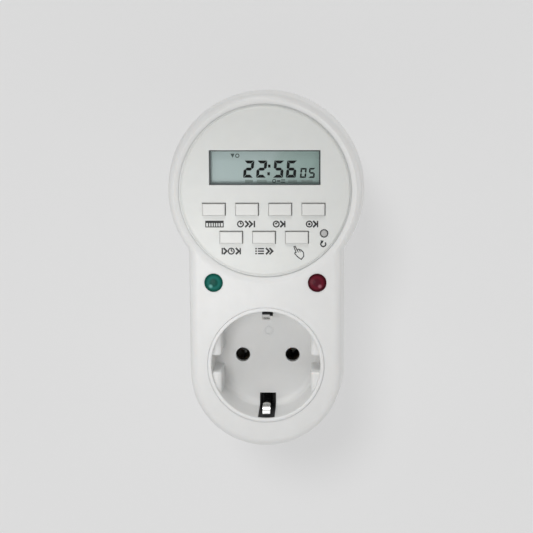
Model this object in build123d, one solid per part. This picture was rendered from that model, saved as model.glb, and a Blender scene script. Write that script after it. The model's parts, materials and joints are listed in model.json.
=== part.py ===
"""Plug-in weekly digital timer with an earthed socket outlet.

Every piece is drawn lying on its back: x right, y up the face, z out of the face,
with z = 0 on the back plane of the case and the plug axis at x = y = 0.
The last step stands the pieces up, so the face looks along -Y and +Z is up.
All lengths are in millimetres.
"""
import math
import os

from build123d import *

# Case outline
HEAD_R = 36.4
BODY_R = 29.0
BODY_Y = -67.4
NECK_R = 4.0
WALL = 2.0

# Case depths
PARTING_Z = 15.0
FACE_Z = 39.0
FRONT_DRAFT = 1.5
FRONT_DRAFT_LENGTH = 12.0
FRONT_FILLET = 3.0
REAR_DRAFT = 0.8
REAR_FILLET = 2.5

# Face disc and its well in the front cover
WELL_R = 31.4
WELL_OUTER_R = 33.2
DISH_R = 34.4
DISH_Z = 38.2
WELL_FLOOR_Z = 37.3
LEDGE_Z = 35.3
LEDGE_HOLE_R = 29.2
DISC_R = 30.8
DISC_BASE_R = 31.3
DISC_BASE_Z = 38.2
DISC_TOP_Z = 39.3
HOOK_ANGLES = (0, 180, -62, -118)

# Display
WINDOW_W = 40.0
WINDOW_H = 12.4
WINDOW_Y = 8.6
GLASS_W = 42.0
GLASS_H = 16.0
GLASS_TOP_Z = 36.5
GLASS_T = 1.1

# Keys
KEY_W = 8.15
KEY_H = 4.25
KEY_GAP_NEAR = 0.14
KEY_GAP_FAR = 0.32
KEY_TOP_Z = 40.4
KEY_TRAVEL = 0.8
KEYS = {
    "key_week": (-18.5, -6.5),
    "key_hour": (-6.5, -6.5),
    "key_minute": (5.5, -6.5),
    "key_second": (17.5, -6.5),
    "key_clock": (-12.3, -16.7),
    "key_program": (-0.4, -16.7),
    "key_manual": (11.5, -16.7),
}
RESET_XY = (21.4, -15.2)
RESET_R = 1.35
STEM_BOTTOM_Z = 34.4

# Indicator lights
LAMPS = {"green": (-18.9, -33.4), "red": (18.9, -33.4)}
LENS_R = 3.35
LED_R = 1.5

# Circuit boards
BOARD_T = 1.6
DISPLAY_BOARD_Z = 29.4
DISPLAY_BOARD_R = 32.7
POWER_BOARD_Z = 19.6
POWER_BOARD_R = 32.0
POWER_BOARD_Y = -24.0
FRONT_POSTS = ((-30.6, 5.0), (30.6, 5.0), (0.0, -35.3))
REAR_POSTS = ((-28.0, -7.0), (28.0, -7.0), (0.0, 28.0))
HEADER_Y = -20.5
HEADER_PINS = 8
HEADER_PITCH = 2.5

# Socket outlet
CUP_Y = -64.2
CUP_R = 20.1
CUP_FLOOR_FILLET = 2.5
CUP_OUTER_R = 21.5
CUP_RIM_Z = 39.4
CUP_FLOOR_Z = 21.9
CUP_BACK_Z = 19.7
CUP_FLANGE_R = 23.5
RIB_FLAT = 16.5
RIB_TOP_Z = 37.2
RIB_GROOVE = 6.2
SLOT_HALVES = {1: 2.1, -1: 3.1}
SLOT_INNER_R = 15.0
SLOT_TOP_Z = 38.2
CLIP_W = 2.8
CLIP_LEG_W = 1.6
PIN_X = 9.5
PIN_HOLE_R = 2.75
CUP_POST_X = 23.4
RETAINER_X = 16.3

# Plug
BOSS_R = 18.5
BOSS_WALL = 2.0
BOSS_END_Z = -17.5
BOSS_FLOOR_Z = -15.0
PIN_R = 2.4
PIN_ROOT_R = 2.6
PIN_END_Z = -36.5
EARTH_HOLE_Y = 10.0
EARTH_HOLE_R = 2.6

# Case screws
CASE_SCREWS = ((-12.0, 27.0), (12.0, 27.0), (-16.0, -82.7), (16.0, -82.7))


def box(x0, x1, y0, y1, z0, z1):
    """Box between two corners."""
    middle = Pos((x0 + x1) / 2, (y0 + y1) / 2, (z0 + z1) / 2)
    return middle * Box(x1 - x0, y1 - y0, z1 - z0)


def rod(x, y, r, z0, z1):
    """Round bar along z."""
    return Pos(x, y, (z0 + z1) / 2) * Cylinder(r, z1 - z0)


def taper(x, y, r0, r1, z0, z1):
    """Cone along z with radius r0 at z0 and r1 at z1."""
    return Pos(x, y, (z0 + z1) / 2) * Cone(r0, r1, z1 - z0)


def strip(points, x0, x1):
    """Flat metal strip: a closed outline in (y, z), as wide as x0 to x1."""
    outline = make_face(Polyline(*points, close=True))
    standing = Plane(origin=(x0, 0, 0), x_dir=(0, 1, 0), z_dir=(1, 0, 0))
    return extrude(standing * outline, amount=x1 - x0)


def radial_box(side, half_width, r0, r1, z0, z1):
    """Box across the recess's upright centre line, from radius r0 to r1 above or below it."""
    y0, y1 = sorted((CUP_Y + side * r0, CUP_Y + side * r1))
    return box(-half_width, half_width, y0, y1, z0, z1)


def group(pieces):
    """Several loose pieces kept as one named node."""
    joined = Part()
    for piece in pieces:
        joined += piece
    return joined


def case_outline(inset):
    """Round head over a round-ended body, joined by a soft neck."""
    head = Circle(HEAD_R - inset)
    middle = Pos(0, BODY_Y / 2) * Rectangle(2 * (BODY_R - inset), -BODY_Y)
    body = Pos(0, BODY_Y) * Circle(BODY_R - inset)
    outline = head + middle + body
    necks = [v for v in outline.vertices() if -35 < v.Y < -10]
    return fillet(necks, NECK_R + inset)


def case_block(inset, z0, z1, draft, draft_length, edge):
    """Solid case half whose z1 end is drafted and rounded."""
    block = extrude(Pos(0, 0, z0) * case_outline(inset), amount=z1 - z0)
    end = block.faces().sort_by(Axis.Z)[-1]
    block = chamfer(end.edges(), draft, draft_length, reference=end)
    end = block.faces().sort_by(Axis.Z)[-1]
    return fillet(end.edges(), edge)


def dish():
    """What is cut away where the front slopes down to the face disc."""
    width = DISH_R - WELL_R
    drop = FACE_Z - DISH_Z
    radius = (width**2 + drop**2) / (2 * drop)
    half = math.asin(width / radius) / 2
    middle = (DISH_R - radius * math.sin(half), FACE_Z - radius + radius * math.cos(half))
    outline = ThreePointArc((WELL_R, DISH_Z), middle, (DISH_R, FACE_Z))
    outline += Polyline(
        (DISH_R, FACE_Z), (DISH_R, FACE_Z + 1), (20, FACE_Z + 1), (20, DISH_Z), (WELL_R, DISH_Z)
    )
    return revolve(make_face(Plane.XZ * outline), axis=Axis.Z)


def front_cover():
    """Front half of the case."""
    outer = case_block(0, PARTING_Z, FACE_Z, FRONT_DRAFT, FRONT_DRAFT_LENGTH, FRONT_FILLET)
    foot = outer.faces().sort_by(Axis.Z)[0]
    outer = chamfer(foot.edges(), 0.35)
    inner = case_block(WALL, PARTING_Z - 0.5, FACE_Z - WALL, FRONT_DRAFT, FRONT_DRAFT_LENGTH, 2.0)
    cover = outer - inner
    cover += rod(0, 0, WELL_OUTER_R, LEDGE_Z, FACE_Z - 1)
    for x, y in FRONT_POSTS:
        cover += rod(x, y, 2.3, DISPLAY_BOARD_Z + BOARD_T, 37.2)
    for x, y in CASE_SCREWS:
        top = LEDGE_Z + 1 if y > 0 else FACE_Z - 1
        cover += rod(x, y, 2.8, PARTING_Z, top)
    for x, y in CASE_SCREWS[:2]:
        cover += box(x - 1, x + 1, y, 31.8, PARTING_Z + 2.5, LEDGE_Z + 1)
    cover -= rod(0, 0, WELL_R, WELL_FLOOR_Z, FACE_Z + 1)
    cover -= dish()
    cover -= rod(0, 0, LEDGE_HOLE_R, LEDGE_Z, FACE_Z + 1)
    cover -= rod(0, CUP_Y, CUP_OUTER_R + 0.06, 30, FACE_Z + 1)
    for x, y in LAMPS.values():
        cover -= rod(x, y, LENS_R + 0.05, 30, FACE_Z + 1)
        cover -= rod(x, y, 4.3, 36.0, FACE_Z - WALL)
    for x, y in FRONT_POSTS:
        cover -= rod(x, y, 1.05, DISPLAY_BOARD_Z, 34.9)
    for x, y in CASE_SCREWS:
        cover -= rod(x, y, 1.35, PARTING_Z - 1, 26)
    return cover


def rear_cover():
    """Rear half of the case with the plug body."""
    outer = mirror(case_block(0, -PARTING_Z, 0, REAR_DRAFT, 12, REAR_FILLET), about=Plane.XY)
    inner = extrude(Pos(0, 0, WALL) * case_outline(WALL + REAR_DRAFT), amount=PARTING_Z)
    cover = outer - inner
    tongue = case_outline(WALL + 0.1) - case_outline(WALL + 1.2)
    cover += extrude(Pos(0, 0, PARTING_Z - 1) * tongue, amount=2.8)
    boss = rod(0, 0, BOSS_R, BOSS_END_Z, 1)
    end = boss.faces().sort_by(Axis.Z)[0]
    boss = chamfer(end.edges(), 0.6)
    cover += boss
    hollow = rod(0, 0, BOSS_R - BOSS_WALL, BOSS_FLOOR_Z, WALL + 1)
    for side in (-1, 1):
        hollow -= box(-5.5, 5.5, side * 16.2 - 2.3, side * 16.2 + 2.3, BOSS_FLOOR_Z - 1, WALL + 2)
        hollow -= box(side * 16.6 - 1.8, side * 16.6 + 1.8, -4.5, 4.5, BOSS_FLOOR_Z - 1, WALL + 2)
    cover -= hollow
    for side in (-1, 1):
        cover -= box(-3.6, 3.6, side * 17.9 - 2, side * 17.9 + 2, BOSS_END_Z - 1, 0)
        cover -= box(-3.1, 3.1, side * 15 - 2, side * 15 + 2, -5.2, -3.9)
        cover -= box(side * 18.5 - 1.5, side * 18.5 + 1.5, -2.5, 2.5, BOSS_END_Z - 1, 0)
        cover -= rod(side * PIN_X, 0, PIN_ROOT_R + 0.05, BOSS_END_Z - 1, BOSS_FLOOR_Z + 1)
    cover -= rod(0, EARTH_HOLE_Y, EARTH_HOLE_R, BOSS_END_Z - 1, BOSS_FLOOR_Z + 1)
    for x, y in CASE_SCREWS:
        cover -= rod(x, y, 3.1, PARTING_Z, PARTING_Z + 5)
        cover += rod(x, y, 3.6, 1, PARTING_Z)
        cover -= rod(x, y, 2.6, -1, 6)
        cover -= rod(x, y, 1.6, 5, PARTING_Z + 1)
    for x, y in CASE_SCREWS[:2]:
        cover -= box(x - 1.3, x + 1.3, y, 38, PARTING_Z, PARTING_Z + 5)
    for x, y in REAR_POSTS:
        cover += rod(x, y, 2.6, 1, POWER_BOARD_Z)
        cover -= rod(x, y, 1.05, POWER_BOARD_Z - 6, POWER_BOARD_Z + 1)
    for side in (-1, 1):
        cover += rod(side * CUP_POST_X, CUP_Y, 1.6, 1, 35.2)
    return cover


def face_disc():
    """Round face plate with the window, the key holes and four snap hooks."""
    disc = rod(0, 0, DISC_R, WELL_FLOOR_Z, DISC_TOP_Z)
    rim = disc.faces().sort_by(Axis.Z)[-1]
    disc = fillet(rim.edges(), 1.0)
    disc += rod(0, 0, DISC_BASE_R, WELL_FLOOR_Z, DISC_BASE_Z)
    half_w = WINDOW_W / 2 + 0.1
    half_h = WINDOW_H / 2 + 0.1
    disc -= box(-half_w, half_w, WINDOW_Y - half_h, WINDOW_Y + half_h, 36, 41)
    for x, y in KEYS.values():
        x0, y0 = x - KEY_W / 2 - KEY_GAP_NEAR, y - KEY_H / 2 - KEY_GAP_NEAR
        x1, y1 = x + KEY_W / 2 + KEY_GAP_FAR, y + KEY_H / 2 + KEY_GAP_FAR
        disc -= box(x0, x1, y0, y1, 36, 41)
    disc -= rod(RESET_XY[0], RESET_XY[1], RESET_R + 0.2, 36, 41)
    for angle in HOOK_ANGLES:
        hook = box(27.9, 29.0, -2, 2, 34.2, WELL_FLOOR_Z + 0.5)
        hook += box(28.5, 29.8, -2, 2, 34.2, 35.2)
        disc += Rot(0, 0, angle) * hook
    return disc


def window_lens():
    """Clear window with a flange behind the face disc."""
    lens = box(-21.5, 21.5, 1.0, 16.0, 36.6, WELL_FLOOR_Z)
    half_h = WINDOW_H / 2
    lens += box(-WINDOW_W / 2, WINDOW_W / 2, WINDOW_Y - half_h, WINDOW_Y + half_h, 37, 38.7)
    return lens


def lcd_front_glass():
    """Front sheet of the display, whose lower ledge carries the contacts."""
    top = GLASS_TOP_Z
    return box(-GLASS_W / 2, GLASS_W / 2, 0.5, 0.5 + GLASS_H, top - GLASS_T, top)


def lcd_rear_glass():
    """Rear sheet of the display."""
    top = GLASS_TOP_Z - GLASS_T
    return box(-GLASS_W / 2, GLASS_W / 2, 2.6, 0.5 + GLASS_H, top - GLASS_T, top)


def lcd_reflector():
    """Reflector film behind the display."""
    top = GLASS_TOP_Z - 2 * GLASS_T
    return box(-20.6, 20.6, 2.8, 16.3, top - 0.3, top)


def lcd_frame():
    """Plastic frame that holds the display on its board."""
    bottom = DISPLAY_BOARD_Z + BOARD_T
    frame = box(-22.5, 22.5, -0.7, 17.7, bottom, GLASS_TOP_Z)
    frame -= box(-21.1, 21.1, 0.4, 16.6, GLASS_TOP_Z - 2 * GLASS_T - 0.3, GLASS_TOP_Z + 1)
    frame -= box(-20.2, 20.2, 0.5, 16.0, bottom - 1, GLASS_TOP_Z)
    return frame


def zebra_strip():
    """Rubber connector between the display board and the glass."""
    return box(-20, 20, 0.7, 2.3, DISPLAY_BOARD_Z + BOARD_T, GLASS_TOP_Z - GLASS_T)


def display_board():
    """Board behind the face disc."""
    z0 = DISPLAY_BOARD_Z
    z1 = z0 + BOARD_T
    board = rod(0, 0, DISPLAY_BOARD_R, z0, z1) + box(-24.6, 24.6, -38.4, 0, z0, z1)
    for x, y in FRONT_POSTS:
        board -= rod(x, y, 1.2, z0 - 1, z1 + 1)
    for x, y in CASE_SCREWS[:2]:
        board -= box(x - 3.2, x + 3.2, y, 40, z0 - 1, z1 + 1)
        board -= rod(x, y, 3.2, z0 - 1, z1 + 1)
    for x in header_positions():
        board -= rod(x, HEADER_Y, 0.5, z0 - 1, z1 + 1)
    return board


def power_board():
    """Board that carries the relay and the supply."""
    z0 = POWER_BOARD_Z
    z1 = z0 + BOARD_T
    board = rod(0, 0, POWER_BOARD_R, z0, z1) - box(-40, 40, -40, POWER_BOARD_Y, z0 - 1, z1 + 1)
    for x, y in REAR_POSTS:
        board -= rod(x, y, 1.2, z0 - 1, z1 + 1)
    for x, y in CASE_SCREWS[:2]:
        board -= box(x - 3.2, x + 3.2, y, 40, z0 - 1, z1 + 1)
        board -= rod(x, y, 3.2, z0 - 1, z1 + 1)
    for x in header_positions():
        board -= rod(x, HEADER_Y, 0.5, z0 - 1, z1 + 1)
    return board


def header_positions():
    """Pin positions of the link between the two boards."""
    first = -(HEADER_PINS - 1) * HEADER_PITCH / 2
    return [first + HEADER_PITCH * i for i in range(HEADER_PINS)]


def header_body():
    """Plastic spacer of the board link."""
    half = HEADER_PINS * HEADER_PITCH / 2
    z0 = POWER_BOARD_Z + BOARD_T
    body = box(-half, half, HEADER_Y - 1.25, HEADER_Y + 1.25, z0, DISPLAY_BOARD_Z)
    for x in header_positions():
        body -= rod(x, HEADER_Y, 0.5, z0 - 1, DISPLAY_BOARD_Z + 1)
    return body


def header_pins():
    """Pins of the board link."""
    z0 = POWER_BOARD_Z - 1.2
    z1 = DISPLAY_BOARD_Z + BOARD_T
    pins = []
    for x in header_positions():
        pins.append(box(x - 0.32, x + 0.32, HEADER_Y - 0.32, HEADER_Y + 0.32, z0, z1))
    return group(pins)


def controller_chip():
    """Timer chip on the back of the display board, with its legs."""
    top = DISPLAY_BOARD_Z
    chip = box(-6, 6, -11, 1, top - 1.8, top - 0.2)
    for i in range(10):
        x = -4.95 + 1.1 * i
        chip += box(x - 0.2, x + 0.2, -12.6, 2.6, top - 0.6, top)
    return chip


def crystal():
    """Watch crystal can on the back of the display board."""
    can = Pos(12, -6, DISPLAY_BOARD_Z - 1.5) * Rot(90, 0, 0) * Cylinder(1.5, 7)
    return can


def chip_capacitors():
    """Small ceramic capacitors on the back of the display board."""
    top = DISPLAY_BOARD_Z
    spots = ((-12, -8), (-12, -4), (-12, 0), (17, -4), (17, 0), (17, 4))
    return group(box(x - 1, x + 1, y - 0.6, y + 0.6, top - 1, top) for x, y in spots)


def key_cap(x, y):
    """Oblong key: cap, retaining flange and stem."""
    cap = box(x - KEY_W / 2, x + KEY_W / 2, y - KEY_H / 2, y + KEY_H / 2, 36.5, KEY_TOP_Z)
    top = cap.faces().sort_by(Axis.Z)[-1]
    cap = fillet(top.edges(), 0.45)
    cap += box(x - 4.7, x + 4.7, y - 2.75, y + 2.75, 36.1, 37.1)
    cap += rod(x, y, 1.5, STEM_BOTTOM_Z, 36.2)
    return cap


def reset_button():
    """Small round key."""
    x, y = RESET_XY
    cap = rod(x, y, RESET_R, 36.5, 39.4)
    top = cap.faces().sort_by(Axis.Z)[-1]
    cap = fillet(top.edges(), 0.7)
    cap += rod(x, y, 2.5, 36.1, 37.1)
    cap += rod(x, y, 1.3, STEM_BOTTOM_Z, 36.2)
    return cap


def keypad_mat():
    """Rubber mat with one dome and contact pill under each key."""
    base = DISPLAY_BOARD_Z + BOARD_T
    mat = box(-24, 24.6, -22, -2.5, base, base + 0.8)
    spots = list(KEYS.values()) + [RESET_XY]
    for x, y in spots:
        mat += taper(x, y, 2.7, 2.1, base + 0.8, STEM_BOTTOM_Z)
    for x, y in spots:
        mat -= taper(x, y, 2.2, 1.8, base, STEM_BOTTOM_Z - 0.7)
    for x, y in spots:
        mat += rod(x, y, 1.2, base + KEY_TRAVEL, STEM_BOTTOM_Z - 0.5)
    return mat


def lamp_lens(x, y):
    """Domed indicator lens, hollow behind, held by a flange."""
    lens = rod(x, y, LENS_R, 36.5, 39.2)
    dome = Pos(x, y, 39.2 - 8.5) * Sphere(9.14) & rod(x, y, LENS_R, 39.1, 41)
    lens += dome
    lens += rod(x, y, 4.2, 36.1, FACE_Z - WALL)
    lens -= rod(x, y, 2.1, 36, 37.9)
    return lens


def led(x, y):
    """Three millimetre light on the display board."""
    base = DISPLAY_BOARD_Z + BOARD_T
    lamp = rod(x, y, 1.9, base, base + 1) + rod(x, y, LED_R, base, base + 4.6)
    lamp += Pos(x, y, base + 4.6) * Sphere(LED_R)
    return lamp


def cup_ribs():
    """Two side ribs of the recess, each with a groove down its middle."""
    ring = rod(0, CUP_Y, CUP_R + 0.5, CUP_FLOOR_Z - 1, RIB_TOP_Z)
    ring -= box(-RIB_FLAT, RIB_FLAT, CUP_Y - 25, CUP_Y + 25, CUP_FLOOR_Z - 2, RIB_TOP_Z + 1)
    half = RIB_GROOVE / 2
    tops = ring.edges().filter_by(lambda e: e.center().Z > RIB_TOP_Z - 0.01)
    tops = tops.filter_by(GeomType.LINE)
    ring = fillet(tops, 1.8)
    ring -= box(-25, 25, CUP_Y - half, CUP_Y + half, CUP_FLOOR_Z, RIB_TOP_Z + 1)
    corners = ring.edges().filter_by(Axis.Z)
    corners = corners.filter_by(lambda e: abs(abs(e.center().Y - CUP_Y) - half) < 0.01)
    corners = corners.filter_by(lambda e: abs(abs(e.center().X) - RIB_FLAT) < 0.01)
    return fillet(corners, 0.9)


def socket_cup():
    """Round recess of the outlet, with its floor, ribs and slots."""
    cup = rod(0, CUP_Y, CUP_OUTER_R, CUP_BACK_Z, CUP_RIM_Z)
    rim = cup.edges().sort_by(Axis.Z)[-1]
    cup = fillet(rim, 0.5)
    bore = rod(0, CUP_Y, CUP_R, CUP_FLOOR_Z, CUP_RIM_Z + 1)
    bore = fillet(bore.edges().sort_by(Axis.Z)[0], CUP_FLOOR_FILLET)
    cup -= bore
    mouth = cup.edges().filter_by(GeomType.CIRCLE)
    mouth = [e for e in mouth if abs(e.radius - CUP_R) < 0.01 and e.center().Z > CUP_RIM_Z - 0.1]
    cup = fillet(mouth, 0.5)
    cup += cup_ribs()
    flange = rod(0, CUP_Y, CUP_FLANGE_R, 35.2, FACE_Z - WALL) - rod(0, CUP_Y, 21, 35, 38)
    for x, y in CASE_SCREWS[2:]:
        flange -= rod(x, y, 3.1, 35, 38)
    cup += flange
    for side in (-1, 1):
        cup += rod(side * RETAINER_X, CUP_Y, 2.5, 5, CUP_BACK_Z + 1)
        cup -= rod(side * RETAINER_X, CUP_Y, 1.05, 4, 14)
        cup -= rod(side * PIN_X, CUP_Y, PIN_HOLE_R, CUP_BACK_Z - 1, CUP_FLOOR_Z + 1)
        half = SLOT_HALVES[side]
        cup -= radial_box(side, half, SLOT_INNER_R, CUP_OUTER_R + 0.4, 18, SLOT_TOP_Z)
    return cup


def contact_carrier():
    """Dark insert behind the recess: pin contact sleeves and linings of the earth slots."""
    carrier = box(-PIN_X, PIN_X, CUP_Y - 2.2, CUP_Y + 2.2, 8, 18.7)
    for side in (-1, 1):
        carrier += rod(side * PIN_X, CUP_Y, 4.2, 5, CUP_BACK_Z)
        carrier += radial_box(side, 2.9, 2, 21.3, 16.4, 18.8)
        half = SLOT_HALVES[side] - 0.1
        lining = radial_box(side, half, SLOT_INNER_R + 0.1, 21.3, 16.4, SLOT_TOP_Z - 0.3)
        lining -= radial_box(side, half - 0.4, SLOT_INNER_R - 1, 20.5, 18.8, SLOT_TOP_Z)
        lining -= radial_box(side, 4, SLOT_INNER_R - 1, CUP_R, CUP_FLOOR_Z - 0.1, SLOT_TOP_Z)
        carrier += lining
    for side in (-1, 1):
        carrier -= rod(side * PIN_X, CUP_Y, 2.6, 16, CUP_BACK_Z + 1)
        carrier -= rod(side * PIN_X, CUP_Y, 3.3, 4, 17.6)
        carrier -= box(side * PIN_X - 2.6, side * PIN_X + 2.6, CUP_Y, CUP_Y + 5, 4, 17.6)
    carrier -= radial_box(1, 2.1, 18, 19.3, 16, 19)
    return carrier


def socket_contact(x):
    """Split brass sleeve with a tail."""
    sleeve = rod(x, CUP_Y, 3.2, 5, 17.5)
    sleeve += box(x - 2.5, x + 2.5, CUP_Y + 2.9, CUP_Y + 3.7, 3, 17.5)
    sleeve -= rod(x, CUP_Y, PIN_R, 4, 18)
    sleeve -= box(x - 0.4, x + 0.4, CUP_Y - 4, CUP_Y, 4, 18)
    return sleeve


def contact_retainer():
    """Plate that closes the contact sleeves from behind."""
    plate = box(-19.6, 19.6, CUP_Y - 5, CUP_Y + 5, 3.6, 5)
    for side in (-1, 1):
        plate -= rod(side * PIN_X, CUP_Y, 2.6, 3, 6)
        plate -= box(side * PIN_X - 2.6, side * PIN_X + 2.6, CUP_Y + 2.8, CUP_Y + 3.8, 3, 6)
        plate -= rod(side * RETAINER_X, CUP_Y, 1.2, 3, 6)
    return plate


def earth_yoke():
    """Earth strip under the recess floor, bent up into a spring clip at each end."""
    yoke = box(-CLIP_LEG_W, CLIP_LEG_W, CUP_Y - 19.6, CUP_Y + 19.6, 18.9, CUP_BACK_Z)
    leg = (
        (19.6, 18.9),
        (19.6, 24.0),
        (16.6, 32.9),
        (15.9, 32.9),
        (18.8, 23.8),
        (18.8, 18.9),
    )
    half = CLIP_W / 2
    for side in (-1, 1):
        y = CUP_Y + side * 19.6
        across = Pos(0, y, 32.6) * Rot(0, 90, 0)
        bow = across * Cylinder(3.8, CLIP_W) - across * Cylinder(3.0, CLIP_W + 1)
        y0, y1 = sorted((CUP_Y + side * 15, CUP_Y + side * 19.2))
        bow &= box(-half, half, y0, y1, 32.6, 37)
        bow &= rod(0, CUP_Y + side * 18.4, 2.6, 30, 38)
        points = [(CUP_Y + side * r, z) for r, z in leg]
        yoke += strip(points, -CLIP_LEG_W / 2, CLIP_LEG_W / 2) + bow
    return yoke


def plug_pin(x):
    """Round plug pin with a collar and a tail inside the plug body."""
    pin = rod(x, 0, PIN_R, PIN_END_Z, BOSS_END_Z)
    tip = pin.edges().sort_by(Axis.Z)[0]
    pin = fillet(tip, 1.4)
    pin += rod(x, 0, PIN_ROOT_R, BOSS_END_Z, BOSS_FLOOR_Z)
    pin += rod(x, 0, 3.3, BOSS_FLOOR_Z, -13.6)
    pin += rod(x, 0, 1.6, -13.6, -11)
    return pin


def plug_earth_strap():
    """Earth strap of the plug: two side springs joined across the inside."""
    strap = box(-3, 3, -16.6, 16.6, -5, -4.2)
    spring = (
        (16.0, -5.0),
        (16.0, -4.2),
        (16.8, -4.2),
        (18.1, -8.5),
        (18.1, -12.0),
        (16.9, -16.2),
        (16.1, -16.2),
        (17.2, -12.0),
        (17.2, -8.6),
    )
    for side in (-1, 1):
        points = [(side * y, z) for y, z in spring]
        strap += strip(points, -3, 3)
    return strap


def earth_pin_sleeve():
    """Split sleeve behind the earth hole of the plug."""
    sleeve = rod(0, EARTH_HOLE_Y, 3.3, BOSS_FLOOR_Z, -5) - rod(0, EARTH_HOLE_Y, PIN_R, -16, -6)
    sleeve -= box(-0.4, 0.4, EARTH_HOLE_Y - 4, EARTH_HOLE_Y, -16, -6)
    return sleeve


def live_link():
    """Strip from the live pin to the power board."""
    link = box(-12, -7, -4.0, 2.5, -12.4, -11.6) - rod(-PIN_X, 0, 1.6, -13, -11)
    link += box(-12, -7, -4.0, -3.2, -12.4, POWER_BOARD_Z)
    return link


def neutral_link():
    """Strip from the neutral pin to the neutral contact."""
    link = box(7, 12, -4.8, 2.5, -12.4, -11.6) - rod(PIN_X, 0, 1.6, -13, -11)
    link += box(7, 12, -4.8, -4.0, -12.4, 3)
    link += box(7, 12, CUP_Y + 3, -4.0, 2.2, 3)
    return link


def load_link():
    """Strip from the relay side of the power board to the live contact."""
    link = box(-12, -7, -23.4, -22.6, 2.2, POWER_BOARD_Z)
    link += box(-12, -7, CUP_Y + 3, -22.6, 2.2, 3)
    return link


def earth_link():
    """Strip from the plug earth strap to the outlet earth yoke."""
    link = box(-2, 2, -12.8, -12, -4.2, 4.2)
    link += box(-2, 2, -46.0, -12, 3.4, 4.2)
    link += box(-2, 2, -46.0, -45.2, 3.4, 18.9)
    return link


def relay_case():
    """Relay cover, standing on its base under the power board."""
    case = box(-24, -8.5, -1.8, 17.2, 4.2, 18.8)
    edges = case.edges().filter_by(Axis.Z)
    case = fillet(edges, 0.8)
    return case


def relay_base():
    """Relay base with its stand-off rim."""
    return box(-23.7, -8.8, -1.5, 16.9, 18.8, POWER_BOARD_Z)


def dropper_capacitor():
    """Film capacitor of the supply."""
    block = box(5, 23, 8, 16, 6, POWER_BOARD_Z)
    return fillet(block.edges().filter_by(Axis.Z), 0.8)


def smoothing_capacitors():
    """Two electrolytic cans."""
    cans = []
    for x in (11, 20.5):
        can = rod(x, -1, 4, 7.6, POWER_BOARD_Z)
        cans.append(fillet(can.edges().sort_by(Axis.Z)[0], 0.6))
    return group(cans)


def varistor():
    """Disc varistor standing under the power board."""
    return Pos(0, 21, POWER_BOARD_Z - 5) * Rot(90, 0, 0) * Cylinder(5, 3.4)


def backup_cell():
    """Rechargeable cell that keeps the clock running."""
    return rod(-15, 6, 7.8, POWER_BOARD_Z + BOARD_T, 26.4)


def rectifier_diodes():
    """Four diodes on the front of the power board."""
    top = POWER_BOARD_Z + BOARD_T
    diodes = []
    for x in (1, 5, 9, 13):
        diodes.append(Pos(x, -8, top + 1.35) * Rot(90, 0, 0) * Cylinder(1.35, 5))
    return group(diodes)


def resistors():
    """Three resistors on the front of the power board."""
    top = POWER_BOARD_Z + BOARD_T
    parts = []
    for y in (4, 9, 14):
        parts.append(Pos(12, y, top + 1.6) * Rot(0, 90, 0) * Cylinder(1.6, 9))
    return group(parts)


def relay_transistor():
    """Switching transistor of the relay coil."""
    top = POWER_BOARD_Z + BOARD_T
    return rod(-6, -12, 2.3, top, top + 4.8) - box(-9, -3, -9.9, -8, top - 1, top + 6)


def case_screws():
    """Four screws that close the case from behind."""
    screws = []
    for x, y in CASE_SCREWS:
        screw = rod(x, y, 2.5, 4, 6) + rod(x, y, 1.3, 6, 25)
        screw -= box(x - 1.7, x + 1.7, y - 0.3, y + 0.3, 3, 5)
        screw -= box(x - 0.3, x + 0.3, y - 1.7, y + 1.7, 3, 5)
        screws.append(screw)
    return group(screws)


def board_screws():
    """Three screws that hold each board."""
    screws = []
    for x, y in FRONT_POSTS:
        z = DISPLAY_BOARD_Z
        screws.append(rod(x, y, 2.2, z - 1.6, z) + rod(x, y, 1.0, z, z + 5.2))
    for x, y in REAR_POSTS:
        z = POWER_BOARD_Z + BOARD_T
        screws.append(rod(x, y, 2.2, z, z + 1.6) + rod(x, y, 1.0, z - 5.2, z))
    return group(screws)


def retainer_screws():
    """Two screws that hold the contact retainer on the socket cup."""
    screws = []
    for x in (-RETAINER_X, RETAINER_X):
        screws.append(rod(x, CUP_Y, 2.2, 2.1, 3.6) + rod(x, CUP_Y, 1.0, 3.6, 12))
    return group(screws)


pieces = {
    "front_cover": front_cover(),
    "rear_cover": rear_cover(),
    "face_disc": face_disc(),
    "window_lens": window_lens(),
    "lcd_front_glass": lcd_front_glass(),
    "lcd_rear_glass": lcd_rear_glass(),
    "lcd_reflector": lcd_reflector(),
    "lcd_frame": lcd_frame(),
    "zebra_strip": zebra_strip(),
    "display_board": display_board(),
    "controller_chip": controller_chip(),
    "crystal": crystal(),
    "chip_capacitors": chip_capacitors(),
    "keypad_mat": keypad_mat(),
    "reset_button": reset_button(),
    "green_lens": lamp_lens(*LAMPS["green"]),
    "red_lens": lamp_lens(*LAMPS["red"]),
    "green_led": led(*LAMPS["green"]),
    "red_led": led(*LAMPS["red"]),
    "socket_cup": socket_cup(),
    "contact_carrier": contact_carrier(),
    "live_contact": socket_contact(-PIN_X),
    "neutral_contact": socket_contact(PIN_X),
    "contact_retainer": contact_retainer(),
    "earth_yoke": earth_yoke(),
    "live_pin": plug_pin(-PIN_X),
    "neutral_pin": plug_pin(PIN_X),
    "plug_earth_strap": plug_earth_strap(),
    "earth_pin_sleeve": earth_pin_sleeve(),
    "live_link": live_link(),
    "neutral_link": neutral_link(),
    "load_link": load_link(),
    "earth_link": earth_link(),
    "power_board": power_board(),
    "header_body": header_body(),
    "header_pins": header_pins(),
    "relay_case": relay_case(),
    "relay_base": relay_base(),
    "dropper_capacitor": dropper_capacitor(),
    "smoothing_capacitors": smoothing_capacitors(),
    "varistor": varistor(),
    "backup_cell": backup_cell(),
    "rectifier_diodes": rectifier_diodes(),
    "resistors": resistors(),
    "relay_transistor": relay_transistor(),
    "case_screws": case_screws(),
    "board_screws": board_screws(),
    "retainer_screws": retainer_screws(),
}
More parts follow.
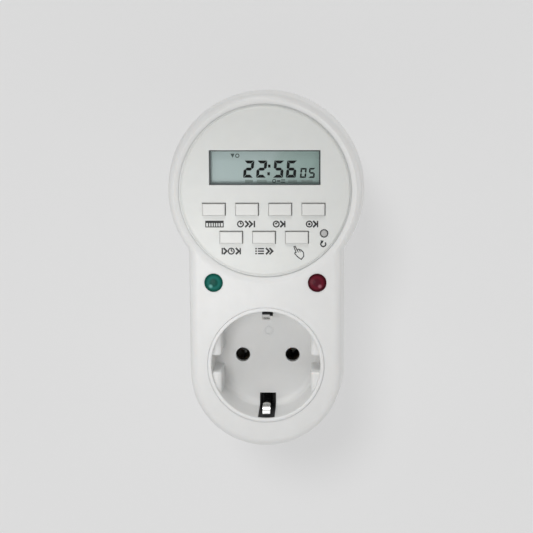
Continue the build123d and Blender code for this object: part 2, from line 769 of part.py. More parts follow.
for name, (key_x, key_y) in KEYS.items():
    pieces[name] = key_cap(key_x, key_y)

os.makedirs("parts", exist_ok=True)
for name, piece in pieces.items():
    export_step(Rot(90, 0, 0) * piece, f"parts/{name}.step")
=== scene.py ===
import json
import math

import bmesh
import bpy
from mathutils import Matrix, Vector


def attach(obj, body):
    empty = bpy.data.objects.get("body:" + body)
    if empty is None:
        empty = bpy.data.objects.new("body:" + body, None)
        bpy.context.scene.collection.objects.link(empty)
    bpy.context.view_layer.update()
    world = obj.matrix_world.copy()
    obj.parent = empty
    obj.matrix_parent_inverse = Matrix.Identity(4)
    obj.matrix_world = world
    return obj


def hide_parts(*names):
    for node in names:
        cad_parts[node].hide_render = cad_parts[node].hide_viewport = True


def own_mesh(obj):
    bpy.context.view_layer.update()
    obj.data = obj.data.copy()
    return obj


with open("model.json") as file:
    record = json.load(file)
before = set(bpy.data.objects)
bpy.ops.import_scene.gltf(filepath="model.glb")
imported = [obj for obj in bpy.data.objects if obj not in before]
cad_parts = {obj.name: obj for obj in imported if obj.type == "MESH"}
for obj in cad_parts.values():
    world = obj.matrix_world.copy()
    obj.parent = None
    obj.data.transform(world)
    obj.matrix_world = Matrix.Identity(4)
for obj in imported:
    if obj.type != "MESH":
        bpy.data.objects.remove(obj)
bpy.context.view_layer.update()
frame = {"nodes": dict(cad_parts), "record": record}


# Distances out from the back plane of the case, in millimetres.
DISPLAY_OUT = 36.51      # front of the display's front glass
WINDOW_OUT = 38.71       # front of the window
FACE_OUT = 39.30         # front of the face disc
RECESS_OUT = 21.88       # floor of the outlet's recess
PRINT = 0.03             # thickness of printed marks
SEGMENT = 0.04           # thickness of display segments

# Places on the face from the head's centre (right, up), in metres.
GREEN_LENS = (-0.0188, -0.0333)
RED_LENS = (0.0188, -0.0333)
RESET_KEY = (0.0214, -0.0152)
OUTLET_UP = -64.2        # height of the outlet's centre, in millimetres


# ---------- helpers ----------

def face_point(x, y, out):
    """A point given on the face in millimetres: right, up, and out of the case back plane."""
    return Vector((x / 1000, -out / 1000, y / 1000))


def build(name, parts, out0, out1, material, body):
    """Thin prisms on the face. Each part is a list of (x, y) corners, in millimetres."""
    verts = []
    faces = []
    for corners in parts:
        area = sum(a[0] * b[1] - b[0] * a[1] for a, b in zip(corners, corners[1:] + corners[:1]))
        if area < 0:
            corners = corners[::-1]
        n = len(corners)
        base = len(verts)
        verts += [face_point(x, y, out1) for x, y in corners]
        verts += [face_point(x, y, out0) for x, y in corners]
        faces.append([base + i for i in range(n)])
        faces.append([base + n + i for i in reversed(range(n))])
        for i in range(n):
            j = (i + 1) % n
            faces.append([base + i, base + n + i, base + n + j, base + j])
    mesh = bpy.data.meshes.new(name)
    mesh.from_pydata(verts, [], faces)
    mesh.update()
    piece = bpy.data.objects.new(name, mesh)
    bpy.context.scene.collection.objects.link(piece)
    mesh.materials.append(material)
    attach(piece, body)
    return piece


def ribbon(points, width, closed=False):
    """Quads along a line, with mitred corners."""
    pts = [Vector(p) for p in points]
    n = len(pts)
    sides = []
    for i in range(n):
        before = pts[i] - pts[i - 1] if (closed or i > 0) else pts[1] - pts[0]
        after = pts[(i + 1) % n] - pts[i] if (closed or i < n - 1) else pts[-1] - pts[-2]
        a = Vector((-before.y, before.x)).normalized()
        b = Vector((-after.y, after.x)).normalized()
        mitre = (a + b).normalized()
        reach = width / 2 / max(0.35, mitre.dot(a))
        sides.append((pts[i] + mitre * reach, pts[i] - mitre * reach))
    quads = []
    for i in range(n if closed else n - 1):
        j = (i + 1) % n
        quads.append([tuple(p) for p in (sides[i][0], sides[j][0], sides[j][1], sides[i][1])])
    return quads


def rect(x0, x1, y0, y1):
    return [(x0, y0), (x1, y0), (x1, y1), (x0, y1)]


def disc(x, y, r, n=20):
    turns = [2 * math.pi * i / n for i in range(n)]
    return [(x + r * math.cos(turn), y + r * math.sin(turn)) for turn in turns]


def ring(x, y, r, width, start=0, sweep=360, n=28):
    full = sweep >= 360
    steps = n if full else n + 1
    pts = []
    for i in range(steps):
        a = math.radians(start + sweep * i / n)
        pts.append((x + r * math.cos(a), y + r * math.sin(a)))
    return ribbon(pts, width, closed=full)


def moved(parts, dx, dy, scale=1.0):
    return [[(x * scale + dx, y * scale + dy) for x, y in p] for p in parts]


# ---------- materials ----------

def node_material(name):
    material = bpy.data.materials.new(name)
    material.use_nodes = True
    tree = material.node_tree
    tree.nodes.clear()
    out = tree.nodes.new("ShaderNodeOutputMaterial")
    return material, tree, out


def noise(tree, scale, detail=4.0):
    """Soft cloud from 0 to 1, at so many lumps to the metre."""
    coord = tree.nodes.new("ShaderNodeTexCoord")
    tex = tree.nodes.new("ShaderNodeTexNoise")
    tex.inputs["Scale"].default_value = scale
    tex.inputs["Detail"].default_value = detail
    tex.inputs["Roughness"].default_value = 0.55
    tree.links.new(coord.outputs["Object"], tex.inputs["Vector"])
    return tex.outputs["Fac"]


def spread(tree, value, lo, hi, from_lo=0.3, from_hi=0.7):
    """Maps from_lo to lo and from_hi to hi, and holds past both ends."""
    node = tree.nodes.new("ShaderNodeMapRange")
    node.inputs["From Min"].default_value = from_lo
    node.inputs["From Max"].default_value = from_hi
    node.inputs["To Min"].default_value = lo
    node.inputs["To Max"].default_value = hi
    tree.links.new(value, node.inputs["Value"])
    return node.outputs["Result"]


# Colour sockets of the Mix node, which share their names with its number sockets.
MIX_A, MIX_B, MIX_COLOR = 6, 7, 2


def mixed(tree, factor, first, second):
    """First colour at factor 0, second at 1; each is a colour or an output."""
    node = tree.nodes.new("ShaderNodeMix")
    node.data_type = "RGBA"
    for socket, value in ((node.inputs[MIX_A], first), (node.inputs[MIX_B], second)):
        if isinstance(value, (tuple, list)):
            socket.default_value = (*value[:3], 1)
        else:
            tree.links.new(value, socket)
    if isinstance(factor, (int, float)):
        node.inputs[0].default_value = factor
    else:
        tree.links.new(factor, node.inputs[0])
    return node.outputs[MIX_COLOR]


def principled(tree, out):
    shader = tree.nodes.new("ShaderNodeBsdfPrincipled")
    tree.links.new(shader.outputs[0], out.inputs[0])
    return shader


def place_on_piece(tree):
    """Outputs X (right), Y (into the case) and Z (up) of the point being shaded."""
    coord = tree.nodes.new("ShaderNodeTexCoord")
    split = tree.nodes.new("ShaderNodeSeparateXYZ")
    tree.links.new(coord.outputs["Object"], split.inputs[0])
    return split.outputs


def face_distance(tree, place, point):
    """Distance on the face from a point given as (right, up)."""
    flat = tree.nodes.new("ShaderNodeCombineXYZ")
    tree.links.new(place["X"], flat.inputs["X"])
    tree.links.new(place["Z"], flat.inputs["Z"])
    far = tree.nodes.new("ShaderNodeVectorMath")
    far.operation = "DISTANCE"
    far.inputs[1].default_value = (point[0], 0, point[1])
    tree.links.new(flat.outputs[0], far.inputs[0])
    return far.outputs["Value"]


def shade(color, k):
    return tuple(min(1.0, c * k) for c in color)


def surface(name, color, rough, metallic=0.0, vary=0.03, scale=220, grain=0.0, coat=0.0,
            scatter=0.0):
    """Moulded or metal surface with slight uneven colour, gloss and grain."""
    material, tree, out = node_material(name)
    shader = principled(tree, out)
    cloud = noise(tree, scale)
    tree.links.new(
        mixed(tree, spread(tree, cloud, 0, 1), shade(color, 1 - vary), shade(color, 1 + vary)),
        shader.inputs["Base Color"],
    )
    patch = noise(tree, scale * 2.7)
    tree.links.new(
        spread(tree, patch, rough - 0.05, rough + 0.05),
        shader.inputs["Roughness"],
    )
    shader.inputs["Metallic"].default_value = metallic
    shader.inputs["Coat Weight"].default_value = coat
    shader.inputs["Coat Roughness"].default_value = 0.12
    if scatter:
        shader.inputs["Subsurface Weight"].default_value = scatter
        shader.inputs["Subsurface Radius"].default_value = (1.0, 0.9, 0.8)
        shader.inputs["Subsurface Scale"].default_value = 0.0012
    if grain:
        bump = tree.nodes.new("ShaderNodeBump")
        bump.inputs["Strength"].default_value = grain
        bump.inputs["Distance"].default_value = 0.00004
        tree.links.new(noise(tree, 5000, 2.0), bump.inputs["Height"])
        tree.links.new(bump.outputs[0], shader.inputs["Normal"])
    return material


def window_material():
    """Clear window: lets the display through, with a sheen on top."""
    material, tree, out = node_material("window_clear")
    clear = tree.nodes.new("ShaderNodeBsdfTransparent")
    cloud = spread(tree, noise(tree, 90), 0, 1)
    tree.links.new(mixed(tree, cloud, (0.97, 0.985, 0.98), (0.99, 1.0, 0.995)), clear.inputs[0])
    gloss = tree.nodes.new("ShaderNodeBsdfGlossy")
    gloss.inputs["Roughness"].default_value = 0.08
    fresnel = tree.nodes.new("ShaderNodeFresnel")
    fresnel.inputs["IOR"].default_value = 1.22
    mix = tree.nodes.new("ShaderNodeMixShader")
    tree.links.new(fresnel.outputs[0], mix.inputs[0])
    tree.links.new(clear.outputs[0], mix.inputs[1])
    tree.links.new(gloss.outputs[0], mix.inputs[2])
    tree.links.new(mix.outputs[0], out.inputs[0])
    return material


def display_material():
    """Grey-green display with painted light: lighter on the left, with a soft slanted change of
    tone.
    """
    material, tree, out = node_material("display_glass")
    shader = principled(tree, out)
    place = place_on_piece(tree)
    # Painted light across the display: lighter towards the left, with a soft slanted edge to darker
    # tones on the right.
    lean = tree.nodes.new("ShaderNodeMath")
    lean.operation = "MULTIPLY_ADD"
    lean.inputs[1].default_value = -0.7
    tree.links.new(place["Z"], lean.inputs[0])
    tree.links.new(place["X"], lean.inputs[2])
    painted_light_slant = spread(tree, lean.outputs[0], 0, 1, -0.0065, -0.0025)
    along = spread(tree, place["X"], 0, 1, -0.020, 0.020)
    left = mixed(tree, along, (0.64, 0.735, 0.74), (0.545, 0.65, 0.64))
    right = mixed(tree, along, (0.54, 0.645, 0.63), (0.445, 0.57, 0.54))
    tone = mixed(tree, painted_light_slant, left, right)
    cloud = spread(tree, noise(tree, 160), 0, 0.08)
    tree.links.new(mixed(tree, cloud, tone, (0.70, 0.80, 0.78)), shader.inputs["Base Color"])
    shader.inputs["Roughness"].default_value = 0.35
    return material


def lamp_material(name, rim, ring_tone, core, painted_highlight, centre, lean):
    """Unlit coloured lens: dark core, brighter ring with a painted highlight on one side, dark
    edge.
    """
    material, tree, out = node_material(name)
    shader = principled(tree, out)
    place = place_on_piece(tree)
    radius = face_distance(tree, place, centre)
    tone = mixed(tree, spread(tree, radius, 0, 1, 0.0012, 0.0018), core, ring_tone)
    tone = mixed(tree, spread(tree, radius, 0, 1, 0.0022, 0.0028), tone, rim)
    # Painted highlight: a light spot low on the lens, on the side that lean gives.
    highlight_spot = face_distance(tree, place, (centre[0] + lean * 0.0011, centre[1] - 0.0013))
    tone = mixed(tree, spread(tree, highlight_spot, 1, 0, 0.0003, 0.0009), tone, painted_highlight)
    cloud = spread(tree, noise(tree, 500), 0, 0.2)
    tree.links.new(mixed(tree, cloud, tone, ring_tone), shader.inputs["Base Color"])
    shader.inputs["Roughness"].default_value = 0.22
    shader.inputs["Specular IOR Level"].default_value = 0.05
    return material


def clip_material():
    """Bright spring strip, with painted shade darkening its deeper part, towards and under the
    recess floor, and the part above the tip of its upper end.
    """
    material, tree, out = node_material("outlet_clip_metal")
    shader = principled(tree, out)
    place = place_on_piece(tree)
    tone = mixed(tree, spread(tree, noise(tree, 500), 0, 1), (0.62, 0.62, 0.60), (0.70, 0.70, 0.68))
    # Painted shade: near black on the deeper part of the strip.
    root_painted_shade = spread(tree, place["Y"], 0, 1, -0.0325, -0.0305)
    tone = mixed(tree, root_painted_shade, tone, (0.012, 0.012, 0.012))
    # Painted shade: dark above the tip of the upper end.
    crown_painted_shade = spread(tree, place["Z"], 0, 1, -0.0460, -0.0456)
    tree.links.new(mixed(tree, crown_painted_shade, tone, (0.030, 0.030, 0.030)), shader.inputs["Base Color"])
    tree.links.new(spread(tree, noise(tree, 900), 0.24, 0.34), shader.inputs["Roughness"])
    shader.inputs["Metallic"].default_value = 1.0
    return material


def dished_material(name, middle_tone, painted_edge_shade, centre, inner, outer):
    """Small round cap, with painted shade darkening it towards its edge."""
    material, tree, out = node_material(name)
    shader = principled(tree, out)
    radius = face_distance(tree, place_on_piece(tree), centre)
    tone = mixed(tree, spread(tree, radius, 0, 1, inner, outer), middle_tone, painted_edge_shade)
    cloud = spread(tree, noise(tree, 700), 0, 0.1)
    tree.links.new(mixed(tree, cloud, tone, middle_tone), shader.inputs["Base Color"])
    shader.inputs["Roughness"].default_value = 0.4
    return material


WHITE = (0.800, 0.800, 0.790)
materials = {
    "case_plastic": surface(
        "case_plastic", WHITE, 0.42, vary=0.012, grain=0.10, scatter=0.30,
    ),
    "disc_plastic": surface(
        "disc_plastic", (0.765, 0.774, 0.752), 0.40, vary=0.012, grain=0.10, scatter=0.30,
    ),
    "key_plastic": surface(
        "key_plastic", (0.765, 0.768, 0.745), 0.38, vary=0.012, grain=0.08, scatter=0.06,
    ),
    "inner_plastic": surface("inner_plastic", (0.70, 0.70, 0.67), 0.5, vary=0.03, grain=0.2),
    "carrier_plastic": surface("carrier_plastic", (0.006, 0.006, 0.006), 0.55, vary=0.2, grain=0.2),
    "window_clear": window_material(),
    "display_glass": display_material(),
    "reflector_film": surface("reflector_film", (0.45, 0.52, 0.48), 0.4, vary=0.04),
    "zebra_rubber": surface("zebra_rubber", (0.55, 0.22, 0.24), 0.6, vary=0.15, scale=1400),
    "board_laminate": surface("board_laminate", (0.02, 0.11, 0.035), 0.35, vary=0.25, scale=600),
    "chip_plastic": surface("chip_plastic", (0.012, 0.012, 0.013), 0.5, vary=0.2, grain=0.3),
    "crystal_metal": surface("crystal_metal", (0.62, 0.62, 0.62), 0.28, metallic=1.0, vary=0.06),
    "capacitor_ceramic": surface("capacitor_ceramic", (0.34, 0.22, 0.12), 0.5, vary=0.1),
    "mat_rubber": surface("mat_rubber", (0.33, 0.33, 0.33), 0.65, vary=0.05, grain=0.2),
    # The fourth colour of each lens is its painted highlight.
    "green_plastic": lamp_material(
        "green_plastic", (0.006, 0.075, 0.055), (0.020, 0.150, 0.125), (0.008, 0.075, 0.058),
        (0.16, 0.42, 0.38), GREEN_LENS, -1,
    ),
    "red_plastic": lamp_material(
        "red_plastic", (0.050, 0.005, 0.010), (0.130, 0.013, 0.024), (0.084, 0.013, 0.023),
        (0.34, 0.13, 0.16), RED_LENS, 1,
    ),
    "led_epoxy": surface("led_epoxy", (0.70, 0.70, 0.67), 0.15, vary=0.04, coat=0.4),
    # Brass darkened nearly to black: painted shade for the contacts deep in the pin holes.
    "contact_brass": surface(
        "contact_brass", (0.040, 0.028, 0.014), 0.45, metallic=1.0, vary=0.15, scale=500,
    ),
    "spring_metal": surface(
        "spring_metal", (0.66, 0.66, 0.64), 0.26, metallic=1.0, vary=0.06, scale=500,
    ),
    "pin_metal": surface("pin_metal", (0.70, 0.69, 0.66), 0.20, metallic=1.0, vary=0.05, scale=600),
    "relay_plastic": surface("relay_plastic", (0.01, 0.04, 0.28), 0.3, vary=0.1),
    "film_capacitor_plastic": surface(
        "film_capacitor_plastic", (0.55, 0.33, 0.04), 0.4, vary=0.08,
    ),
    "can_sleeve": surface("can_sleeve", (0.015, 0.015, 0.03), 0.3, vary=0.2),
    "varistor_coat": surface("varistor_coat", (0.02, 0.07, 0.30), 0.3, vary=0.15),
    "cell_metal": surface("cell_metal", (0.6, 0.6, 0.6), 0.3, metallic=1.0, vary=0.06),
    "resistor_body": surface("resistor_body", (0.25, 0.42, 0.50), 0.4, vary=0.12, scale=900),
    "screw_steel": surface(
        "screw_steel", (0.55, 0.55, 0.54), 0.32, metallic=1.0, vary=0.1, scale=900,
    ),
}
ink = surface("label_ink", (0.010, 0.010, 0.011), 0.55, vary=0.35, scale=1500)
segment_ink = surface("segment_ink", (0.004, 0.006, 0.006), 0.8, vary=0.3, scale=900)
faint_ink = surface("faint_ink", (0.085, 0.115, 0.110), 0.5, vary=0.2, scale=900)
ghost_ink = surface("ghost_ink", (0.36, 0.44, 0.42), 0.5, vary=0.1, scale=900)
# Dark frame inside the window: partly the gap between window and disc, partly painted shade from
# the window recess walls.
gap_and_painted_shade = surface("gap_and_painted_shade", (0.045, 0.050, 0.052), 0.45, vary=0.3, scale=700)

# Grey reset cap; its dark second colour is painted shade at the cap's edge.
reset_plastic = dished_material(
    "reset_plastic", (0.50, 0.50, 0.49), (0.16, 0.16, 0.16), RESET_KEY, 0.0009, 0.0013,
)

own_look = {"reset_button": reset_plastic, "earth_yoke": clip_material()}
slots = {entry["node"]: entry["material_slot"] for entry in frame["record"]["subparts"]}
for node, piece in frame["nodes"].items():
    piece.data.materials.clear()
    piece.data.materials.append(own_look.get(node) or materials[slots[node]])


# ---------- rubber mat: split into a sheet and a dome under each key ---

DOME_REACH = 0.00275     # widest radius of a dome, just past its foot, in metres


def dome_spots():
    """Joint name and centre of the key over each dome."""
    behaviour = frame["record"]["behaviour"]
    spots = {}
    for joint in behaviour["joints"]:
        key = frame["nodes"][behaviour["bodies"][joint["child"]][0]]
        corners = [key.matrix_world @ Vector(c) for c in key.bound_box]
        spots[joint["name"]] = sum(corners, Vector()) / 8
    return spots


def beside(point, centre):
    return math.hypot(point.x - centre.x, point.z - centre.z)


def mat_piece(name, source, centres, wanted):
    """The wanted faces of the mat as a closed piece; each cut around a dome's foot is bridged."""
    shape = bmesh.new()
    shape.from_mesh(source.data)
    shape.transform(source.matrix_world)
    bmesh.ops.remove_doubles(shape, verts=shape.verts, dist=1e-6)
    bmesh.ops.delete(shape, geom=[f for f in shape.faces if not wanted(f)], context="FACES")
    for centre in centres:
        foot = [
            edge for edge in shape.edges
            if edge.is_boundary and beside(edge.verts[0].co, centre) < DOME_REACH
        ]
        bmesh.ops.bridge_loops(shape, edges=foot)
    bmesh.ops.recalc_face_normals(shape, faces=shape.faces)
    mesh = bpy.data.meshes.new(name)
    shape.to_mesh(mesh)
    shape.free()
    mesh.materials.append(materials["mat_rubber"])
    piece = bpy.data.objects.new(name, mesh)
    bpy.context.scene.collection.objects.link(piece)
    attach(piece, "housing")
    return piece


def on_dome(face, centre):
    return all(beside(v.co, centre) < DOME_REACH for v in face.verts)


mat = frame["nodes"]["keypad_mat"]
spots = dome_spots()
sheet = mat_piece(
    "keypad_sheet", mat, spots.values(),
    lambda face: not any(on_dome(face, centre) for centre in spots.values()),
)
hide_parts("keypad_mat")
for joint, centre in spots.items():
    dome = mat_piece(
        joint.replace("_press", "_dome"), mat, [centre], lambda face: on_dome(face, centre),
    )
    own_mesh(dome)


# ---------- display ----------

WINDOW = (-20.0, 20.0, 2.4, 14.8)
SEGMENTS = {
    "0": "abcdef", "2": "abdeg", "5": "acdfg", "6": "acdefg",
}


def digit(char, x, y, w, h, t, lean=0.09):
    """Seven-segment digit with its lower left corner at x, y."""
    m = h / 2
    gap = 0.012 * h
    ht = t / 2
    shapes = {
        "a": [(gap, h), (w - gap, h), (w - t - gap, h - t), (t + gap, h - t)],
        "d": [(gap, 0), (w - gap, 0), (w - t - gap, t), (t + gap, t)],
        "g": [(ht + gap, m), (t + gap, m + ht), (w - t - gap, m + ht), (w - ht - gap, m),
              (w - t - gap, m - ht), (t + gap, m - ht)],
        "f": [(0, h - gap), (t, h - t - gap), (t, m + ht + gap), (ht, m + gap / 2), (0, m + ht)],
        "e": [(0, gap), (t, t + gap), (t, m - ht - gap), (ht, m - gap / 2), (0, m - ht)],
        "b": [(w, h - gap), (w - t, h - t - gap), (w - t, m + ht + gap),
              (w - ht, m + gap / 2), (w, m + ht)],
        "c": [(w, gap), (w - t, t + gap), (w - t, m - ht - gap),
              (w - ht, m - gap / 2), (w, m - ht)],
    }
    return [[(x + px + lean * py, y + py) for px, py in shapes[s]] for s in SEGMENTS[char]]


left, right, bottom, top = WINDOW
big = []
for char, dx in (("2", 12.0), ("2", 16.7), ("5", 22.85), ("6", 27.5)):
    big += digit(char, left + dx, bottom + 2.4, 3.6, 6.2, 1.05)
for dy in (3.8, 6.6):
    cx = left + 20.95 + 0.09 * dy
    big.append(rect(cx - 0.45, cx + 0.45, bottom + dy - 0.55, bottom + dy + 0.55))
build("display_time", big, DISPLAY_OUT, DISPLAY_OUT + SEGMENT, segment_ink, "housing")

small = []
for char, dx in (("0", 32.6), ("5", 35.7)):
    small += digit(char, left + dx, bottom + 2.3, 2.2, 3.6, 0.58)
build("display_seconds", small, DISPLAY_OUT, DISPLAY_OUT + SEGMENT, segment_ink, "housing")

marks = [[(left + 7.5, bottom + 11.1), (left + 9.0, bottom + 11.1), (left + 8.3, bottom + 9.6)]]
marks += ring(left + 10.0, bottom + 10.35, 0.62, 0.32)
build("display_day_mark", marks, DISPLAY_OUT, DISPLAY_OUT + SEGMENT, faint_ink, "housing")

marks = ring(left + 23.3, bottom + 1.2, 0.58, 0.30)
marks += [rect(left + 24.3, left + 25.5, bottom + 0.95, bottom + 1.45)]
marks += [rect(left + 25.8, left + 27.3, bottom + 0.6, bottom + 0.95)]
marks += [rect(left + 25.8, left + 27.3, bottom + 1.4, bottom + 1.75)]
build("display_mode_mark", marks, DISPLAY_OUT, DISPLAY_OUT + SEGMENT, faint_ink, "housing")

ghosts = []
for x0, x1 in ((12.7, 15.6), (17.0, 20.6), (28.4, 31.6), (33.2, 37.2)):
    ghosts.append(rect(left + x0, left + x1, bottom + 0.65, bottom + 1.6))
build("display_idle_marks", ghosts, DISPLAY_OUT, DISPLAY_OUT + SEGMENT / 2, ghost_ink, "housing")

# Dark frame inside the window, a different width on each side: partly the gap around the window,
# partly painted shade from the recess walls.
edge = [
    rect(left, left + 0.42, bottom, top),
    rect(right - 0.45, right, bottom, top),
    rect(left + 0.42, right - 0.45, top - 0.36, top),
    rect(left + 0.42, right - 0.45, bottom, bottom + 0.24),
]
build("window_gap_and_painted_shade", edge, WINDOW_OUT, WINDOW_OUT + 0.05, gap_and_painted_shade, "housing")


# ---------- printed symbols ----------

def clock_symbol(x, y, r, w, hour, minute):
    parts = ring(x, y, r, w)
    for angle, reach in ((hour, 0.50), (minute, 0.72)):
        a = math.radians(angle)
        tip = (x + reach * r * math.cos(a), y + reach * r * math.sin(a))
        parts += ribbon([(x, y), tip], w * 0.85)
    return parts


def chevron(x, y, h, w):
    return ribbon([(x - h / 4, y - h / 2), (x + h / 4, y), (x - h / 4, y + h / 2)], w)


def week_symbol():
    parts = ribbon([(-3.0, -1.0), (3.0, -1.0), (3.0, 1.0), (-3.0, 1.0)], 0.30, closed=True)
    parts.append(rect(-2.84, 2.84, 0.35, 0.86))
    for x in (-2.0, -1.2, -0.4, 0.4, 1.2, 2.0):
        parts.append(rect(x - 0.17, x + 0.17, -0.84, 0.34))
    return parts


def hour_symbol():
    parts = clock_symbol(-2.05, 0, 0.98, 0.42, 20, 90)
    parts += chevron(0.1, 0, 2.15, 0.60)
    parts += chevron(1.4, 0, 2.15, 0.60)
    parts.append(rect(2.45, 2.95, -1.1, 1.1))
    return parts


def minute_symbol():
    parts = clock_symbol(-1.15, 0, 0.98, 0.42, 150, 60)
    parts += chevron(0.75, 0, 2.15, 0.60)
    parts.append(rect(1.55, 2.0, -1.1, 1.1))
    return parts


def second_symbol():
    parts = ring(-1.1, 0, 0.98, 0.42)
    parts.append(disc(-1.1, 0, 0.42))
    parts += chevron(0.75, 0, 2.15, 0.60)
    parts.append(rect(1.5, 1.95, -1.1, 1.1))
    return parts


def clock_key_symbol():
    parts = clock_symbol(0, 0, 1.0, 0.42, 0, 90)
    parts += chevron(2.1, 0, 2.15, 0.60)
    parts.append(rect(2.85, 3.30, -1.1, 1.1))
    parts += moved(chevron(0, 0, 2.15, 0.60), -2.1, 0)
    parts.append(rect(-3.30, -2.85, -1.1, 1.1))
    return parts


def program_symbol():
    parts = []
    for y in (-0.85, 0.0, 0.85):
        parts.append(rect(-2.9, -2.35, y - 0.24, y + 0.24))
        parts.append(rect(-2.0, 0.1, y - 0.22, y + 0.22))
    parts += chevron(1.3, 0, 2.15, 0.60)
    parts += chevron(2.5, 0, 2.15, 0.60)
    return parts


def hand_symbol():
    """Pointing hand, finger up and to the left."""
    outline = [
        (-1.55, 2.30), (-1.15, 2.45), (-0.35, 0.95), (-0.10, 1.45), (0.30, 1.40), (0.45, 1.00),
        (0.75, 1.25), (1.10, 1.05), (1.20, 0.70), (1.50, 0.65), (1.75, 0.20), (1.80, -1.10),
        (0.95, -2.10), (-0.20, -1.25), (-1.25, -0.15), (-1.20, 0.25), (-0.80, 0.30),
    ]
    parts = ribbon(outline, 0.30, closed=True)
    parts += ribbon([(-0.30, 0.80), (0.05, 0.30)], 0.24)
    parts += ribbon([(0.48, 0.90), (0.62, 0.35)], 0.24)
    return parts


def reset_symbol():
    parts = ring(0, 0, 0.85, 0.44, start=120, sweep=280)
    parts.append([(-0.95, 1.25), (0.15, 1.15), (-0.45, 0.15)])
    return parts


symbols = (
    ("symbol_week", week_symbol(), -18.3, -11.8),
    ("symbol_hour", hour_symbol(), -6.7, -11.8),
    ("symbol_minute", minute_symbol(), 5.3, -11.8),
    ("symbol_second", second_symbol(), 17.2, -11.8),
    ("symbol_clock", clock_key_symbol(), -12.3, -21.7),
    ("symbol_program", program_symbol(), -0.5, -21.7),
    ("symbol_hand", hand_symbol(), 12.1, -22.5),
    ("symbol_reset", reset_symbol(), 21.1, -19.1),
)
for name, parts, x, y in symbols:
    build(name, moved(parts, x, y, 1.06), FACE_OUT, FACE_OUT + PRINT, ink, "housing")

mark = ring(0.5, OUTLET_UP + 9.4, 1.5, 0.35)
build("recess_mould_mark", mark, RECESS_OUT, RECESS_OUT + 0.1, materials["case_plastic"], "housing")


# ---------- stage ----------

def stage_material(name, see_through):
    """Pale studio surface with a soft glow; the backdrop is seen from its front only."""
    material, tree, out = node_material(name)
    cloud = spread(tree, noise(tree, 6), 0, 1)
    paint = tree.nodes.new("ShaderNodeBsdfDiffuse")
    pale = mixed(tree, cloud, (0.395, 0.395, 0.395), (0.405, 0.405, 0.405))
    tree.links.new(pale, paint.inputs[0])
    glow = tree.nodes.new("ShaderNodeEmission")
    glow.inputs["Strength"].default_value = GLOW
    both = tree.nodes.new("ShaderNodeAddShader")
    tree.links.new(paint.outputs[0], both.inputs[0])
    tree.links.new(glow.outputs[0], both.inputs[1])
    if not see_through:
        tree.links.new(both.outputs[0], out.inputs[0])
        return material
    clear = tree.nodes.new("ShaderNodeBsdfTransparent")
    side = tree.nodes.new("ShaderNodeNewGeometry")
    mix = tree.nodes.new("ShaderNodeMixShader")
    tree.links.new(side.outputs["Backfacing"], mix.inputs[0])
    tree.links.new(both.outputs[0], mix.inputs[1])
    tree.links.new(clear.outputs[0], mix.inputs[2])
    tree.links.new(mix.outputs[0], out.inputs[0])
    return material


def plane(name, corners, material):
    mesh = bpy.data.meshes.new(name)
    mesh.from_pydata(corners, [], [[0, 1, 2, 3]])
    mesh.update()
    piece = bpy.data.objects.new(name, mesh)
    bpy.context.scene.collection.objects.link(piece)
    mesh.materials.append(material)
    return piece


GLOW = 0.436
WALL_Y = 0.042
FLOOR_Z = -0.40
REACH = 3.0
backdrop = plane(
    "backdrop",
    [(-REACH, WALL_Y, FLOOR_Z), (REACH, WALL_Y, FLOOR_Z),
     (REACH, WALL_Y, REACH), (-REACH, WALL_Y, REACH)],
    stage_material("backdrop", True),
)
floor = plane(
    "floor",
    [(-REACH, -REACH, FLOOR_Z), (REACH, -REACH, FLOOR_Z),
     (REACH, REACH, FLOOR_Z), (-REACH, REACH, FLOOR_Z)],
    stage_material("floor", False),
)


def lit_by_it(name, state):
    """The backdrop alone, or all but the backdrop, as what a light falls on."""
    group = bpy.data.collections.new(name)
    group.objects.link(backdrop)
    group.collection_objects[0].light_linking.link_state = state
    return group


def area_light(name, place, target, size, power, falls_on=None):
    data = bpy.data.lights.new(name, "AREA")
    data.shape = "DISK"
    data.size = size
    data.energy = power
    lamp = bpy.data.objects.new(name, data)
    bpy.context.scene.collection.objects.link(lamp)
    lamp.location = place
    lamp.rotation_mode = "QUATERNION"
    lamp.rotation_quaternion = (Vector(target) - Vector(place)).to_track_quat("-Z", "Y")
    lamp.visible_camera = False
    if falls_on:
        lamp.light_linking.receiver_collection = falls_on
    return lamp


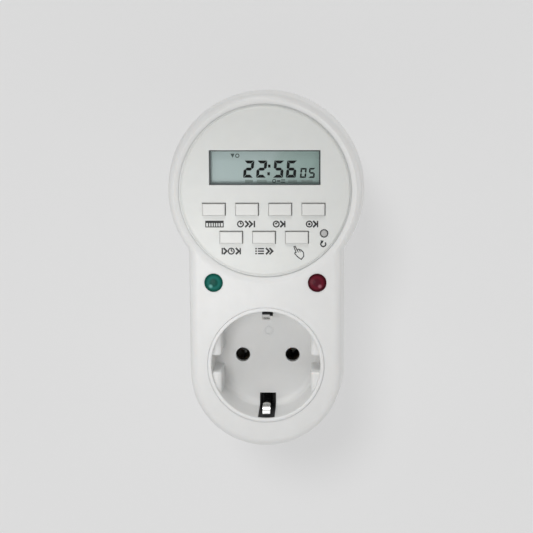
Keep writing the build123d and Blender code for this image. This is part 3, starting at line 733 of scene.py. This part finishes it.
middle = (0, 0, -0.03)
wall_only = lit_by_it("wall_only", "INCLUDE")
not_wall = lit_by_it("not_wall", "EXCLUDE")
area_light("wall_key", (-0.50, -2.7, 1.25), middle, 0.80, 25.5, wall_only)
area_light("key", (-0.14, -0.66, 0.97), middle, 0.35, 4.1, not_wall)
area_light("front", (-0.036, -0.165, -0.042), (0, 0, -0.045), 0.06, 0.060, not_wall)
area_light("side", (0.80, -0.10, 0.03), middle, 0.30, 0.8, not_wall)

world = bpy.data.worlds.new("studio")
bpy.context.scene.world = world
world.use_nodes = True
tree = world.node_tree
coord = tree.nodes.new("ShaderNodeTexCoord")
split = tree.nodes.new("ShaderNodeSeparateXYZ")
tree.links.new(coord.outputs["Generated"], split.inputs[0])
height = spread(tree, split.outputs["Z"], 0, 1, -0.8, 0.8)
sky = mixed(tree, height, (0.05, 0.05, 0.05), (0.34, 0.34, 0.34))
tree.links.new(sky, tree.nodes["Background"].inputs[0])
tree.nodes["Background"].inputs[1].default_value = 1.0

bpy.context.scene.view_settings.view_transform = "Standard"


# ---------- camera ----------

CAMERA = (0.0186, -0.4390, 0.0360)
YAW = -0.0162
PITCH = -0.1284
ROLL = -0.0017
FOCAL_PX = 1113.2
IMAGE_PX = 533
SENSOR = 36
SHIFT = (-0.060, -0.060)

data = bpy.data.cameras.new("camera")
data.sensor_width = SENSOR
data.lens = FOCAL_PX / IMAGE_PX * SENSOR
data.shift_x, data.shift_y = SHIFT
data.clip_start = 0.01
data.clip_end = 50
camera = bpy.data.objects.new("camera", data)
bpy.context.scene.collection.objects.link(camera)
forward = Vector((
    math.sin(YAW) * math.cos(PITCH), math.cos(YAW) * math.cos(PITCH), math.sin(PITCH),
))
side = Vector((math.cos(YAW), -math.sin(YAW), 0))
up = side.cross(forward)
side, up = side * math.cos(ROLL) + up * math.sin(ROLL), up * math.cos(ROLL) - side * math.sin(ROLL)
basis = Matrix((side, up, -forward)).transposed()
camera.matrix_world = Matrix.Translation(CAMERA) @ basis.to_4x4()
bpy.context.scene.camera = camera
